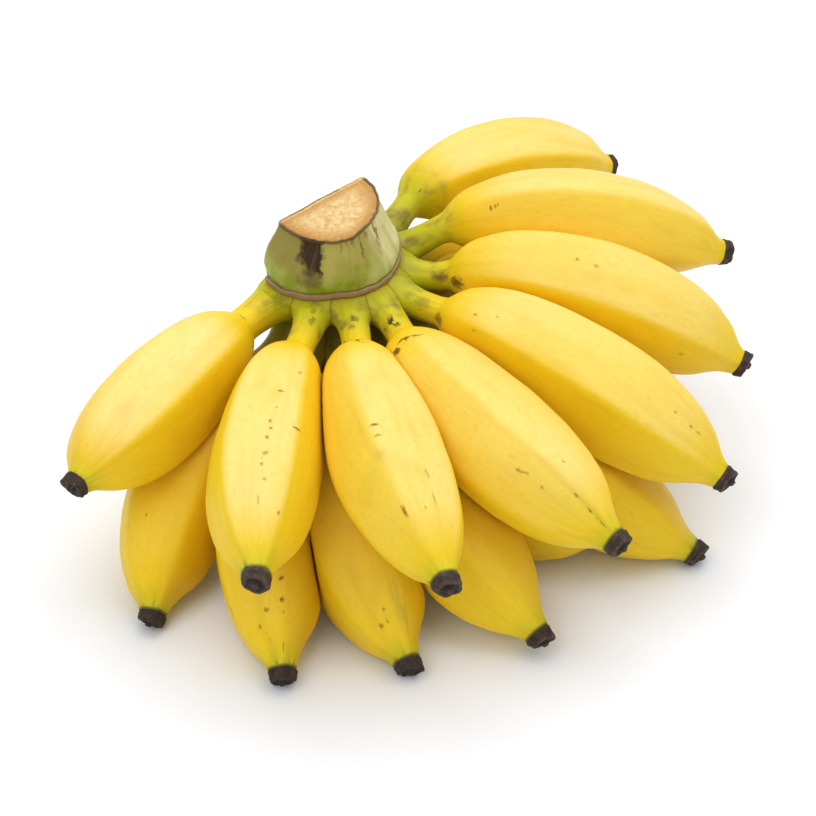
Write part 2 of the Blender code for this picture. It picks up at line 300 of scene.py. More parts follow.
# marks on the skin by finger, some of them painted shade in the crease where a stalk meets its fruit: mm
# from its root, degrees from its top, length, width, strength
brownMarksAndCreaseShade = {
    "upper_1": ((7, -48, 3.5, 8, 0.45), (20.5, -17, 0.6, 6, 0.4)),
    "upper_2": (
        (11, -17, 2.5, 4, 0.45), (14.3, -23, 3, 5, 0.55), (49, -29, 0.9, 0.7, 0.6),
        (59.5, -13, 0.6, 1.2, 0.8), (67, -12, 0.7, 0.6, 0.5), (73.5, -9, 1, 0.7, 0.7),
        (76, -10, 1, 0.7, 0.75), (80, -8, 0.9, 0.7, 0.75), (74.5, -36, 0.6, 1.6, 0.8),
        (86, -8, 0.8, 1.2, 0.6), (90, -5, 0.8, 0.8, 0.7), (95, -10, 0.8, 0.8, 0.5),
        (101.5, -4, 1.5, 0.6, 0.4), (105, -32, 0.7, 0.7, 0.7),
    ),
    "upper_3": (
        (15, 4, 2.2, 6, 0.7), (18.6, 17, 1.6, 5, 0.55), (24, 61, 0.5, 5, 0.7), (29, 36, 0.5, 6, 0.6),
        # the rows at 31.5 to 34 mm are painted shade in the crease where the stalk meets the fruit
        (31.5, 18, 1.1, 6, 1), (32.8, 4, 1.1, 6, 1), (34, -8, 0.9, 4, 0.8), (77, 15, 0.6, 1.4, 0.9),
        (81.5, 16, 0.8, 1.8, 0.65), (82, 12, 0.6, 1, 0.5), (107, 25, 2.2, 0.9, 0.85),
        (97, -18, 2.5, 0.6, 0.4), (105, -17, 3, 0.6, 0.4), (107.7, -1, 0.7, 0.5, 0.4),
    ),
    "upper_4": (
        # the rows at 36 to 38.5 mm are painted shade in the crease where the stalk meets the fruit
        (19.8, 31, 2.8, 6, 1), (21.7, 23, 2.2, 6, 0.9), (20, 71, 1, 3, 0.6), (36, 37, 1.1, 4, 1),
        (37.5, 25, 1.0, 4, 1), (38.5, 14, 0.8, 4, 0.8), (37.8, 47, 2.2, 2.5, 1),
        (95, 42, 1.2, 0.6, 0.6), (97, 39, 1, 0.5, 0.5), (102, 2, 0.7, 0.6, 0.5),
        (102.5, 41, 0.6, 0.6, 0.5), (111, 21, 1, 0.6, 0.7), (115.8, 22, 1.2, 0.6, 0.8),
        (119.9, 22, 1.5, 0.6, 0.8),
    ),
    "upper_5": (
        (19, 42, 4, 9, 0.4), (27.5, 74, 3, 6, 0.65), (42, 38, 0.8, 0.6, 0.7), (48, 30, 0.5, 0.5, 0.5),
        (44, 57, 0.9, 0.6, 0.5), (105, 17, 0.7, 0.6, 0.6), (111, 16, 0.8, 0.7, 0.8),
        (114, 14, 0.7, 0.6, 0.5),
    ),
    "upper_6": (
        (20, 62, 3.5, 8, 0.6), (25.5, 76, 3.6, 5, 0.85), (60.7, 23, 0.8, 0.7, 0.6),
        (66, 25, 0.8, 0.7, 0.5), (99, 87, 1, 1, 0.4),
    ),
    "upper_7": ((34.6, 41, 0.5, 1.6, 0.9), (36.8, 38, 0.4, 1, 0.5)),
    "upper_8": ((23.7, 29, 0.8, 1, 0.6),),
    "lower_1": ((88, 10, 0.5, 0.5, 0.6),),
    "lower_2": (
        (101.7, -14, 0.7, 0.9, 0.9), (107.6, -14, 1.1, 1.1, 0.95), (107, 62, 1.6, 0.9, 0.7),
        (109.5, 8, 0.8, 1.3, 0.7), (113.7, 24, 0.8, 1, 0.7), (117, 13, 0.5, 0.5, 0.5),
        (111, -16, 0.5, 0.5, 0.5), (119.4, -13, 1.5, 0.8, 0.6),
    ),
    "lower_3": ((112.4, 25, 0.8, 1.5, 0.7), (109, 10, 0.6, 1, 0.6), (112, 12, 0.6, 0.9, 0.5)),
}
# by finger, how much stronger the pale waxy coat and painted sheen on the upper facets are
moreWaxAndSheen = {"upper_1": 1.3, "upper_2": 1.1, "upper_6": 1.1, "upper_7": 1.3, "upper_8": 1.35}
# mm by which the green before the dried end is cut short
paleEnds = {"upper_1": 1, "upper_5": 2, "upper_6": 4, "upper_7": 4, "upper_8": 6}
# how much further than usual the green of the stalk reaches, as a share of the length
greener = {"upper_1": -0.035, "upper_2": -0.01, "upper_6": 0.02, "upper_7": 0.04, "upper_8": 0.08}
# green streaks, in the same way as the brown marks
greenMarks = {
    "upper_3": ((88, 23, 2.5, 2.5, 0.45), (90, 39, 2.5, 2, 0.4)),
    "upper_4": ((118, 21, 6, 1.6, 0.5),),
    "lower_3": ((108, -13, 7, 2, 0.6), (112, -20, 6, 1.6, 0.55), (104, -36, 8, 3, 0.3)),
}


def fingerRings(finger):
    stalk = np.linspace(0.0, finger["stalk"] + 0.06, fingerShape["stalkRings"], endpoint=False)
    fruit = np.linspace(finger["stalk"] + 0.06, fingerShape["capStart"], fingerShape["fruitRings"])
    capPlaces, capRadii = np.array(capOutline).T
    cap = fingerShape["capStart"] + (fingerShape["capEnd"] - fingerShape["capStart"]) * capPlaces
    shares = np.concatenate([stalk, fruit[:-1], cap])
    radii = np.concatenate([radiusOf(finger, stalk), radiusOf(finger, fruit[:-1]), capRadii])
    return shares, radii


def spherePlaces(bm, rings):
    # of each vertex of a fresh sphere, the ring counted from the bottom pole and the angle
    start = np.array([vert.co for vert in bm.verts])
    ring = (1 - np.arccos(np.clip(start[:, 2], -1, 1)) / math.pi) * (rings + 1)
    return np.rint(ring).astype(int) - 1, np.arctan2(start[:, 1], start[:, 0])


def finishMesh(bm, places, name, isSecond):
    # a face has the second material where isSecond says so of its corners
    for vert, place in zip(bm.verts, places):
        vert.co = place * mm
    bmesh.ops.recalc_face_normals(bm, faces=bm.faces)
    for face in bm.faces:
        face.smooth = True
        face.material_index = int(isSecond([vert.index for vert in face.verts]))
    mesh = bpy.data.meshes.new(name)
    bm.to_mesh(mesh)
    bm.free()
    return mesh


def writeAttribute(mesh, name, values):
    kind, field = ("FLOAT_VECTOR", "vector") if values.ndim == 2 else ("FLOAT", "value")
    attribute = mesh.attributes.new(name, kind, "POINT")
    attribute.data.foreach_set(field, values.astype(np.float32).ravel())


def flareRoot(finger, family, share, radius, middle, outward):
    # the root widens into the crown and into the stalks beside it, and stops below the scar ring
    near = np.flatnonzero(share < finger["stalk"] * 0.9)
    plain = radius[near]
    limit = fingerShape["flare"] * ramp(share[near], 0.0, 0.05) * ramp(share[near], 0.14, 0.06)
    for _ in range(10):
        places = middle[near] + outward[near] * radius[near][:, None]
        step = np.maximum(-grownTogether(places, radius[near] - plain, family), 0)
        radius[near] = np.minimum(radius[near] + step, plain + limit)
    rise = outward[near] @ crownAxis
    skin = crownLocal(middle[near] + outward[near] * radius[near][:, None])
    ringHere = crownShape["ringLower"] + ringLine(facingOf(skin[:, 0], skin[:, 1]))
    below = ringHere - crownLocal(middle[near])[:, 2]
    stop = np.where(rise > 0.05, below / np.maximum(rise, 0.05), 1e3)
    capped = np.minimum(radius[near], np.maximum(stop, 0.5))
    radius[near] = np.where(share[near] < 0.075, capped, radius[near])


def makeFinger(finger, family):
    shares, radii = fingerRings(finger)
    seed = float(list(fingerRows).index(finger["name"]) + 1)
    bm = bmesh.new()
    bmesh.ops.create_uvsphere(bm, u_segments=fingerShape["sides"], v_segments=len(shares) + 1, radius=1)
    ring, angle = spherePlaces(bm, len(shares))
    isRoot, isTip = ring < 0, ring >= len(shares)
    ring = np.clip(ring, 0, len(shares) - 1)
    share, radius = shares[ring], radii[ring]
    isCap = share > fingerShape["capStart"] + 1e-6

    middle = centreOf(finger, share)
    along = unit(centreOf(finger, share + 0.01) - centreOf(finger, share - 0.01))
    first = unit(finger["lift"] - along * (along @ finger["lift"])[:, None])
    second = np.cross(along, first)
    outward = first * np.cos(angle)[:, None] + second * np.sin(angle)[:, None]
    flareRoot(finger, family, share, radius, middle, outward)

    # ridges, and a body that isn't quite even
    strength = ramp(share, 0.15, 0.40) * (0.35 + 0.65 * ramp(share, 0.985, 0.94))
    strength = np.maximum(strength, 0.35 * ramp(share, 0.20, 0.10) * ramp(share, 0.03, 0.08))
    strength = strength * fingerShape["ridgeStrength"]
    factor, ridge, facet = ridgeProfile(angle - finger["roll"], strength, finger["roll"])
    uneven = roughness(middle + outward * fingerShape["evenRadius"], 26, seed, 2)
    fine = roughness(middle + outward * radius[:, None], 6, seed, 2)
    uneven = fingerShape["uneven"] * uneven * ramp(share, 0.12, 0.3) * ramp(share, 0.95, 0.85)
    radius = radius * factor + uneven + fingerShape["fine"] * fine * (1 - isCap)

    # the dried end is rugged, and its open face looks a little down
    rugged = roughness(middle + outward * radius[:, None], 2.2, seed, 3)
    lobes = 1 + 0.03 * np.cos(5 * (angle - finger["roll"]))
    radius = np.where(isCap, radius * lobes + 0.30 * rugged * ramp(radius, 0.8, 3), radius)
    tilt = 0.9 * np.cos(angle - math.pi * (0.85 + 0.3 * math.sin(seed * 2.1)))
    push = np.where(isCap, -tilt * ramp(share, 0.972, 0.992) * radius / 5.4 + 0.25 * rugged, 0)
    places = middle + outward * radius[:, None] + along * push[:, None]
    places[isRoot] = centreOf(finger, 0.0)
    places[isTip] = centreOf(finger, fingerShape["capEnd"])
    places = pressClear(finger, family, middle, places, share, isRoot | isTip)

    # a tip that would enter the floor is pressed flat above it
    floorGap = fingerShape["floorGap"]
    low = places[:, 2] < floorGap
    places[low, 2] = floorGap * np.exp((places[low, 2] - floorGap) / floorGap) * 0.6

    capStart = fingerShape["capStart"] - 1e-6

    def isDried(corners):
        return share[corners].min() >= capStart

    mesh = finishMesh(bm, places, finger["name"] + "_skin", isDried)
    markFinger(mesh, finger, seed, share, angle, outward, ridge, facet)
    return mesh


def markFinger(mesh, finger, seed, share, angle, outward, ridge, facet):
    name, length = finger["name"], finger["length"]
    lower = float(name.startswith("lower"))
    # as if the finger were a straight rod of even thickness
    straight = roundThe(angle, fingerShape["evenRadius"], share * length + seed * 500)
    writeAttribute(mesh, "straight", straight * mm)
    writeAttribute(mesh, "share", profileShare(finger, share))
    writeAttribute(mesh, "stalkShare", profileShare(finger, share) - greener.get(name, 0))
    writeAttribute(mesh, "ridge", ridge * ramp(share, 0.17, 0.3))
    # painted sheen on the facets that face up, partly a pale waxy coat; the lower row gets little of it,
    # as if in shade
    waxAndSheen = (1 - 0.85 * lower) * ramp(facet, 0.3, 0.95) * (0.7 + 0.3 * np.cos(angle))
    writeAttribute(mesh, "waxAndSheen", waxAndSheen * moreWaxAndSheen.get(name, 1))
    # painted shade on the stalks of the lower row, which lie under the upper row
    writeAttribute(mesh, "paintedStalkShade", lower * ramp(share, 0.34, 0.16))
    writeAttribute(mesh, "toCap", (fingerShape["capStart"] - share) * length + paleEnds.get(name, 0))
    # painted shade on the right-facing sides of the lower row
    toRight = np.clip(outward[:, 0] - 0.3 * outward[:, 2] + 0.2, 0, 1)
    writeAttribute(mesh, "shade", lower * toRight * ramp(share, 0.25, 0.4))
    # brown marks, and painted shade in the creases between stalk and fruit
    mark, markStrength = nearestMark(brownMarksAndCreaseShade.get(name, ()), share * length, angle)
    writeAttribute(mesh, "mark", mark)
    writeAttribute(mesh, "markStrength", markStrength)
    stain, stainStrength = nearestMark(greenMarks.get(name, ()), share * length, angle)
    writeAttribute(mesh, "stain", stainStrength * np.exp(-np.linalg.norm(stain, axis=1) ** 2))


def nearestMark(rows, along, angle):
    # where each point is in its nearest mark, 1 at the edge, and the strength of that mark
    if not rows:
        return np.full((len(along), 3), 9.0), np.zeros(len(along))
    place, turn, length, width, strength = np.array(rows, float).T[:, :, None]
    aside = (np.degrees(angle) - turn + 180) % 360 - 180
    across = np.radians(aside) * fingerShape["evenRadius"]
    offs = np.stack([across / width, (along - place) / length], axis=-1)
    reach = np.linalg.norm(offs, axis=-1)
    nearest, everyPoint = reach.argmin(axis=0), np.arange(len(along))
    ranked = np.sort(np.vstack([reach, np.full(len(along), 99.0)]), axis=0)
    # the third number keeps the middle ground between two marks clear
    apart = 4 * ramp(ranked[0] / ranked[1], 0.55, 0.85) + 2 * np.maximum(ranked[0] - 5, 0)
    return np.column_stack([offs[nearest, everyPoint], apart]), strength[nearest, 0]


def pressClear(finger, family, middle, places, share, fixed):
    # skin that would enter a neighbour stops half way between the two
    wanted = np.where(share < finger["stalk"] + 0.03, -0.12, fingerShape["pressGap"])

    def margin(points, rows):
        own = outsideOf(finger, points)
        others = [outsideOf(other, points) for other in family]
        return np.min(others, axis=0) - own - wanted[rows]

    if not family:
        return places
    everyRow = np.arange(len(places))
    stretched = middle + (places - middle) * 1.12
    rows = everyRow[(margin(stretched, everyRow) < 0) & ~fixed]
    inner, outer = np.zeros(len(rows)), np.full(len(rows), 1.12)
    for _ in range(12):
        half = (inner + outer) / 2
        points = middle[rows] + (places[rows] - middle[rows]) * half[:, None]
        clear = margin(points, rows) >= 0
        inner, outer = np.where(clear, half, inner), np.where(clear, outer, half)
    soft = fingerShape["pressSoftness"]
    scale = -soft * np.log(np.exp(-inner / soft) + np.exp(-1.0 / soft))
    places = places.copy()
    places[rows] = middle[rows] + (places[rows] - middle[rows]) * scale[:, None]
    return places


# the crown: rings of a D-shaped section from the bottom of the cushion up to the middle of the cut
def crownRings():
    heights = np.concatenate([np.linspace(-29.5, -3, 26), np.linspace(-2.6, 2.6, 22)])
    heights = np.concatenate([heights, np.linspace(3.0, 20.6, 40), (21.0, 21.3, 21.5)])
    rings = [(height, 1.0) for height in heights]
    rings += [(21.62, 0.992), (21.6, 0.98), (21.35, 0.968), (21.1, 0.955), (21.2, 0.94)]
    rings += [(21.4, share) for share in np.linspace(0.92, 0.04, 26)]
    return [(-30.0, 0.30), (-30.0, 0.70), *rings]


def crownSection(angle, radius):
    # how far the D-shaped outline is from its middle point in this direction
    middle, flat = crownShape["middle"], crownShape["flatSide"]
    down = middle * np.sin(angle)
    roundSide = -down + np.sqrt(np.maximum(down**2 - middle**2 + radius**2, 0.01))
    towards = np.maximum(np.sin(angle), 1e-3)
    flatSide = np.where(np.sin(angle) > 0, (flat - middle) / towards, 1e3)
    soft = crownShape["cornerRounding"]
    return -soft * np.log(np.exp(-roundSide / soft) + np.exp(-np.minimum(flatSide, 200) / soft))


def crownOutline(angle, height):
    reach = crownSection(angle, smoothCurve(crownShape["profile"], height))
    # the left side bulges under the cut, the right side is drawn in
    toRight = np.cos(angle)
    belly = ramp(height, 2, 9) * ramp(height, 21, 12)
    bulge = crownShape["bulge"] * np.clip(-toRight, 0, 1) - crownShape["drawnIn"] * np.clip(toRight, 0, 1)
    reach += np.where(np.sin(angle) < 0.6, belly * bulge, 0)
    frontLeft = np.exp(-(((np.degrees(angle) + 122) / 38) ** 2))
    reach += crownShape["frontLeft"] * frontLeft * ramp(height, 2, 16)
    folds = roughness(roundThe(angle, 30, height * 0.12), 5.0, 3.0)
    dents = roughness(roundThe(angle, 22, height), 7.0, 5.0)
    sideways = np.where(np.sin(angle) < 0.5, 1.0, 0.4)
    return reach + sideways * (0.28 * folds * ramp(height, 1, 6) + 0.22 * dents * ramp(height, -30, -20))


def scarRing(angle, height, facing):
    # a low band with a wavy line and a groove on both sides
    around = roundThe(angle, 30, height * 0)
    wave = 0.55 * roughness(around, 8.0, 7.0, 2) + ringLine(facing)
    fromRing = np.abs(height - wave)
    bandWidth = crownShape["ringBand"] * (1 + 0.25 * roughness(around, 4.0, 9.0, 2))
    band = ramp(fromRing, bandWidth + 0.35, bandWidth - 0.15)
    groove = ramp(fromRing, bandWidth + 1.1, bandWidth + 0.5) * (1 - band)
    rugged = 0.16 * roughness(roundThe(angle, 30, height), 2.0, 15.0, 2)
    return wave, band, groove, (crownShape["ringProud"] + rugged) * band - 0.25 * groove


def makeCrown():
    rings = crownRings()
    bm = bmesh.new()
    bmesh.ops.create_uvsphere(bm, u_segments=crownShape["sides"], v_segments=len(rings) + 1, radius=1)
    ring, angle = spherePlaces(bm, len(rings))
    isPole = (ring < 0) | (ring >= len(rings))
    ring = np.clip(ring, 0, len(rings) - 1)
    height, inset = np.array(rings)[ring].T
    inset = np.where(isPole, 0, inset)
    isSide = inset > 0.999
    facing = (np.degrees(angle) - crownShape["front"] + 180) % 360 - 180
    wave, band, groove, proud = scarRing(angle, height, facing)
    reach = crownOutline(angle, height) + np.where(np.sin(angle) < 0.55, proud, 0)

    # the cut: fibres that stand up and lie down a little
    x = np.cos(angle) * reach * inset
    y = crownShape["middle"] + np.sin(angle) * reach * inset
    flatPlaces = np.stack([x, y, height * 0], axis=-1)
    fibres = 0.16 * roughness(flatPlaces, 1.6, 11.0) + 0.25 * roughness(flatPlaces, 6.0, 13.0, 2)
    height = height + np.where((height > 20.9) & ~isSide, fibres, 0)
    places = x[:, None] * crownSide + y[:, None] * crownBack + height[:, None] * crownAxis
    fromFlat = crownShape["flatSide"] - y
    flat = np.clip(1 - fromFlat / 0.6, 0, 1) * isSide
    firstCutRing = len(rings) - crownShape["cutRings"]

    def isCutOrSawn(corners):
        return ring[corners].max() >= firstCutRing or flat[corners].min() > 0.5

    mesh = finishMesh(bm, places + ringCentre, "crown_rind", isCutOrSawn)
    writeAttribute(mesh, "local", np.stack([x, y, height], axis=-1) * mm)
    writeAttribute(mesh, "round", roundThe(angle, 20, height) * mm)
    writeAttribute(mesh, "panel", np.stack([facing, height, wave], axis=-1))
    writeAttribute(mesh, "band", band * isSide)
    writeAttribute(mesh, "groove", groove * isSide)
    writeAttribute(mesh, "inset", inset)
    writeAttribute(mesh, "sawn", ramp(fromFlat, 1.6, 0.8))
    writeAttribute(mesh, "flat", flat)
    return mesh


def addNode(tree, kind, inputs=None, **settings):
    node = tree.nodes.new(kind)
    for name, value in settings.items():
        setattr(node, name, value)
    for name, value in (inputs or {}).items():
        if isinstance(value, bpy.types.NodeSocket):
            tree.links.new(value, node.inputs[name])
        else:
            node.inputs[name].default_value = value
    return node


def combine(tree, operation, *values):
    return addNode(tree, "ShaderNodeMath", dict(enumerate(values)), operation=operation).outputs[0]


def combineVectors(tree, operation, *values):
    return addNode(tree, "ShaderNodeVectorMath", dict(enumerate(values)), operation=operation).outputs[0]


def lengthOf(tree, vector):
    return addNode(tree, "ShaderNodeVectorMath", {0: vector}, operation="LENGTH").outputs["Value"]


def between(tree, value, start, end):
    # 0 at start, 1 at end, smooth between; start may be the larger
    node = addNode(tree, "ShaderNodeMapRange", {"Value": value, "From Min": start, "From Max": end})
    node.interpolation_type = "SMOOTHSTEP"
    return node.outputs[0]


def attribute(tree, name, output="Fac"):
    return addNode(tree, "ShaderNodeAttribute", attribute_name=name).outputs[output]


def tint(tree, base, colour, mask, share=1.0):
    # turns the base to the colour where the mask is 1, by at most this share
    if share < 1:
        mask = combine(tree, "MULTIPLY", mask, share)
    isSocket = bpy.types.NodeSocket
    base, colour = [tone if isinstance(tone, isSocket) else (*tone, 1) for tone in (base, colour)]
    # sockets 0, 6 and 7 of a colour mix are its factor and its two colours
    return addNode(tree, "ShaderNodeMix", {0: mask, 6: base, 7: colour}, data_type="RGBA").outputs[2]


def newGroup(name, inputs, outputs):
    tree = bpy.data.node_groups.new(name, "ShaderNodeTree")
    for label, kind in inputs:
        tree.interface.new_socket(label, in_out="INPUT", socket_type="NodeSocket" + kind)
    for label, kind in outputs:
        tree.interface.new_socket(label, in_out="OUTPUT", socket_type="NodeSocket" + kind)
    return tree, tree.nodes.new("NodeGroupInput").outputs, tree.nodes.new("NodeGroupOutput").inputs


def makeMottleGroup():
    # clouds or streaks: noise stretched along one axis, cut to a range
    inputs = [("Vector", "Vector"), ("Size", "Float"), ("Stretch", "Float")]
    inputs += [("From", "Float"), ("To", "Float")]
    tree, given, out = newGroup("mottle", inputs, [("Mask", "Float")])
    scale = combine(tree, "DIVIDE", 1.0, given["Size"])
    stretch = addNode(tree, "ShaderNodeCombineXYZ", {"X": 1.0, "Y": 1.0, "Z": given["Stretch"]})
    place = combineVectors(tree, "MULTIPLY", given["Vector"], stretch.outputs[0])
    cloud = addNode(tree, "ShaderNodeTexNoise", {"Vector": place, "Scale": scale, "Detail": 4.0})
    limits = {"From Min": given["From"], "From Max": given["To"]}
    cut = addNode(tree, "ShaderNodeMapRange", {"Value": cloud.outputs["Fac"], **limits})
    tree.links.new(cut.outputs[0], out["Mask"])
    return tree


def makeSpeckGroup():
    # scattered dots of uneven size, more of them where Density is high
    inputs = [("Vector", "Vector"), ("Spacing", "Float"), ("Size", "Float"), ("Density", "Float")]
    tree, given, out = newGroup("specks", inputs, [("Mask", "Float")])
    scale = combine(tree, "DIVIDE", 1.0, given["Spacing"])
    cells = addNode(tree, "ShaderNodeTexVoronoi", {"Vector": given["Vector"], "Scale": scale})
    pick = addNode(tree, "ShaderNodeSeparateColor", {"Color": cells.outputs["Color"]})
    chosen = combine(tree, "LESS_THAN", pick.outputs["Red"], given["Density"])
    reach = combine(tree, "MULTIPLY", pick.outputs["Green"], given["Size"])
    limits = {"From Min": reach, "From Max": combine(tree, "MULTIPLY", reach, 0.45)}
    dot = addNode(tree, "ShaderNodeMapRange", {"Value": cells.outputs["Distance"], **limits})
    mask = combine(tree, "MULTIPLY", dot.outputs[0], chosen)
    tree.links.new(mask, out["Mask"])
    return tree


def makeSpotGroup():
    # one oval mark: 1 in it, 0 outside
    inputs = [("Vector", "Vector"), ("Centre", "Vector"), ("Size", "Vector"), ("Strength", "Float")]
    tree, given, out = newGroup("spot", inputs, [("Mask", "Float")])
    off = combineVectors(tree, "SUBTRACT", given["Vector"], given["Centre"])
    reach = lengthOf(tree, combineVectors(tree, "DIVIDE", off, given["Size"]))
    limits = {"From Min": 1.25, "From Max": 0.55, "To Max": given["Strength"]}
    cut = addNode(tree, "ShaderNodeMapRange", {"Value": reach, **limits})
    tree.links.new(cut.outputs[0], out["Mask"])
    return tree


def useGroup(tree, group, **inputs):
    return addNode(tree, "ShaderNodeGroup", inputs, node_tree=group).outputs[0]


def mottled(tree, group, vector, row):
    size, stretch, start, end = row
    return useGroup(tree, group, Vector=vector, Size=size, Stretch=stretch, From=start, To=end)


def raggedShift(tree, vector, scale, detail, amount):
    # a small uneven offset that breaks up the edge of a mark
    cloud = addNode(tree, "ShaderNodeTexNoise", {"Vector": vector, "Scale": scale, "Detail": detail})
    centred = combineVectors(tree, "SUBTRACT", cloud.outputs["Color"], (0.5, 0.5, 0.5))
    return combineVectors(tree, "MULTIPLY", centred, amount)


def bumpUp(tree, shader, height, strength, distance):
    inputs = {"Height": height, "Strength": strength, "Distance": distance}
    tree.links.new(addNode(tree, "ShaderNodeBump", inputs).outputs[0], shader.inputs["Normal"])


def newMaterial(name):
    material = bpy.data.materials.new(name)
    material.use_nodes = True
    tree = material.node_tree
    return material, tree, tree.nodes["Principled BSDF"]


skinLook = {
    "yellow": (0.88, 0.585, 0.008),
    "pale": (0.92, 0.67, 0.03),
    "amber": (0.83, 0.47, 0.003),
    "lime": (0.53, 0.50, 0.01),
    "olive": (0.33, 0.31, 0.03),
    "darkGreen": (0.045, 0.05, 0.01),
    "brown": (0.25, 0.105, 0.0),
    "smudge": (0.15, 0.095, 0.04),
    "scabAndCreaseShade": (0.055, 0.035, 0.02),
    "shaded": (0.66, 0.36, 0.0),
    "dull": (0.62, 0.38, 0.01),
    "paintedStalkShade": (0.11, 0.085, 0.012),
    "waxAndSheen": (0.94, 0.725, 0.27),
    "waxAndSheenShare": 0.7,
    "roughness": 0.42,
    "roughnessSpread": 0.10,
    "gloss": 0.2,
    # where the green of the stalk ends and is full, as shares of the length
    "greenStalk": (0.20, 0.07),
    # where the green before the dried end starts and is full, in mm from it
    "greenEnd": (11.0, 3.5),
    # the ragged edge of a mark: how fine, how deep
    "raggedness": (650.0, 1.9),
    "dots": {"Spacing": 0.009, "Size": 0.10, "Density": 0.10},
}
# size in metres, stretch along the finger, the range of the noise that counts
skinPatterns = {
    "clouds": (0.022, 0.35, 0.35, 0.68),
    "warm": (0.035, 0.5, 0.5, 0.75),
    "veins": (0.0035, 0.12, 0.5, 0.75),
    "patches": (0.0075, 0.6, 0.52, 0.78),
    "grain": (0.0013, 0.7, 0.5, 0.8),
    "wobble": (0.006, 0.4, 0.0, 1.0),
    "fibres": (0.004, 0.07, 0.5, 0.68),
    "dust": (0.0055, 0.9, 0.52, 0.70),
    "streaks": (0.0035, 0.2, 0.50, 0.62),
    "pores": (0.0009, 0.7, 0.2, 0.8),
    "lengths": (0.004, 0.12, 0.2, 0.8),
}


